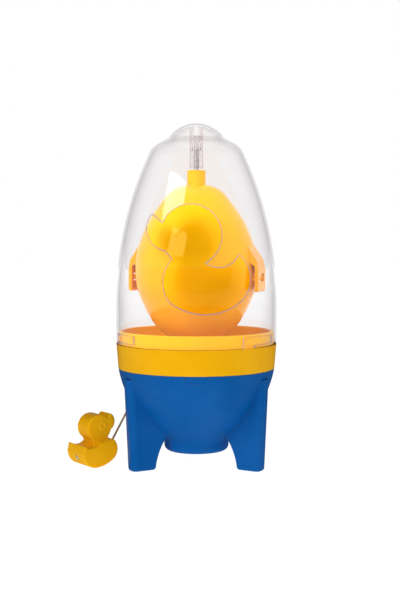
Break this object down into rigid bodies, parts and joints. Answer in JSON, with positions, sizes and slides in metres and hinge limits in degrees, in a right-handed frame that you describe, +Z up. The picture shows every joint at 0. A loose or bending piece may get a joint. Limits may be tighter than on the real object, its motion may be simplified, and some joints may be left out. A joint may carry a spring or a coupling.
{
  "type": "egg spinner",
  "caption": "Hand-pulled egg spinner: clear dome with a duck-shaped window over an egg holder, drip-tray collar, three-legged base and a cord with a duck handle.",
  "frame": {"origin": "on the spin axis at floor level, at the centre of the three feet", "axes": "+Z up along the spin axis, the front with the duck-shaped window faces -Y, the cord and handle lie to -X"},
  "size_m": [0.1181, 0.09, 0.1915],
  "materials": {
    "base_blue": "smooth injection-moulded, gloss",
    "tray_yellow": "smooth injection-moulded, gloss",
    "holder_yellow": "polished injection-moulded, high gloss",
    "handle_yellow": "satin injection-moulded",
    "clear_plastic": "water-clear, polished",
    "silicone": "soft translucent silicone",
    "steel": "turned and polished",
    "nylon": "natural nylon",
    "drum_grey": "moulded acetal",
    "screw_zinc": "bright zinc plated",
    "cord_tan": "tight round braid"
  },
  "bodies": {
    "base": {"base_shell": "base_blue", "collar_tray": "tray_yellow", "case_screws": "screw_zinc", "lower_bush": "nylon", "thrust_disc": "steel", "upper_bush": "nylon", "cord_eyelet": "nylon", "cord_lead": "cord_tan", "pull_cord": "cord_tan"},
    "rotor": {"spindle": "steel", "lower_washer": "steel", "cord_drum": "drum_grey", "drum_cap": "drum_grey", "cord_winding": "cord_tan", "anchor_knot": "cord_tan", "retaining_clip": "steel", "upper_washer": "steel", "drive_coupler": "drum_grey", "holder_bottom": "holder_yellow", "liner_bottom": "silicone"},
    "holder_lid": {"holder_top": "holder_yellow", "liner_top": "silicone", "top_pin": "steel", "latch_arm_left": "holder_yellow", "latch_arm_right": "holder_yellow"},
    "cover": {"clear_cover": "clear_plastic"},
    "handle": {"pull_handle": "handle_yellow", "handle_knot": "cord_tan"}
  },
  "joints": [
    {"name": "rotor_spin", "type": "hinge", "parent": "base", "child": "rotor", "pos_m": [0, 0, 0], "axis": [0, 0, 1], "range_deg": [0, 2995]},
    {"name": "handle_pull", "type": "slide", "parent": "base", "child": "handle", "axis": [-1, 0, 0], "range_m": [0, 0.4], "deforming": ["pull_cord"]},
    {"name": "cover_lift", "type": "slide", "parent": "base", "child": "cover", "axis": [0, 0, 1], "range_m": [0, 0.15]},
    {"name": "holder_open", "type": "slide", "parent": "rotor", "child": "holder_lid", "axis": [0, 0, 1], "range_m": [0, 0.0525], "deforming": ["latch_arm_left", "latch_arm_right"]}
  ],
  "couplings": [
    {"joint": "handle_pull", "follows": "rotor_spin", "m_per_rad": 0.00765},
    {"joint": "holder_open", "follows": "cover_lift", "ratio": 0.35}
  ]
}
